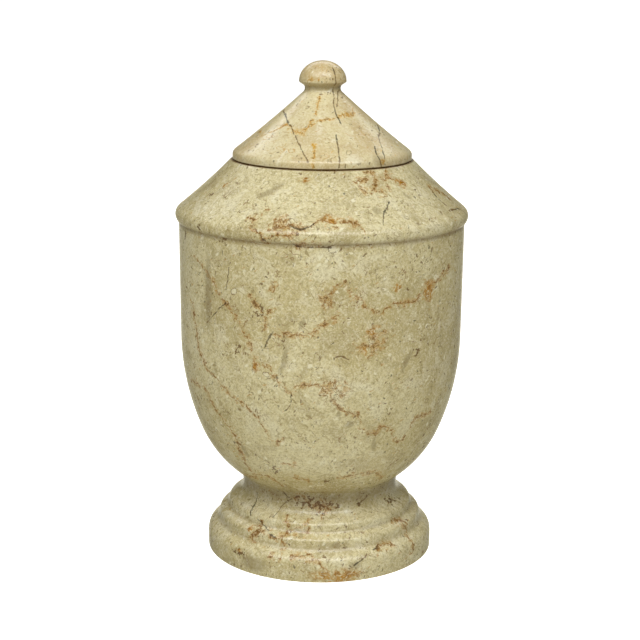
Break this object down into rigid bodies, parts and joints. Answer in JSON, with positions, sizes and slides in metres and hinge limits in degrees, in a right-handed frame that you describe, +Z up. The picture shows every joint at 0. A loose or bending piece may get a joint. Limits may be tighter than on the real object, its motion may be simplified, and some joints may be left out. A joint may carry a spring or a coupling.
{
  "type": "cremation urn",
  "caption": "Turned stone cremation urn: hollow body with a conical shoulder on a moulded round foot, under a loose conical lid with a button knob.",
  "frame": {"origin": "on the turning axis, at the flat underside of the foot", "axes": "+Z up along the turning axis; -Y faces the camera of the picture, +X is to its right"},
  "size_m": [0.1782, 0.1782, 0.3041],
  "materials": {
    "body_stone": "polished beige limestone with rust veins",
    "lid_stone": "polished beige limestone with ochre veins"
  },
  "bodies": {
    "root": {"urn_body": "body_stone", "lid": "lid_stone"}
  },
  "joints": []
}
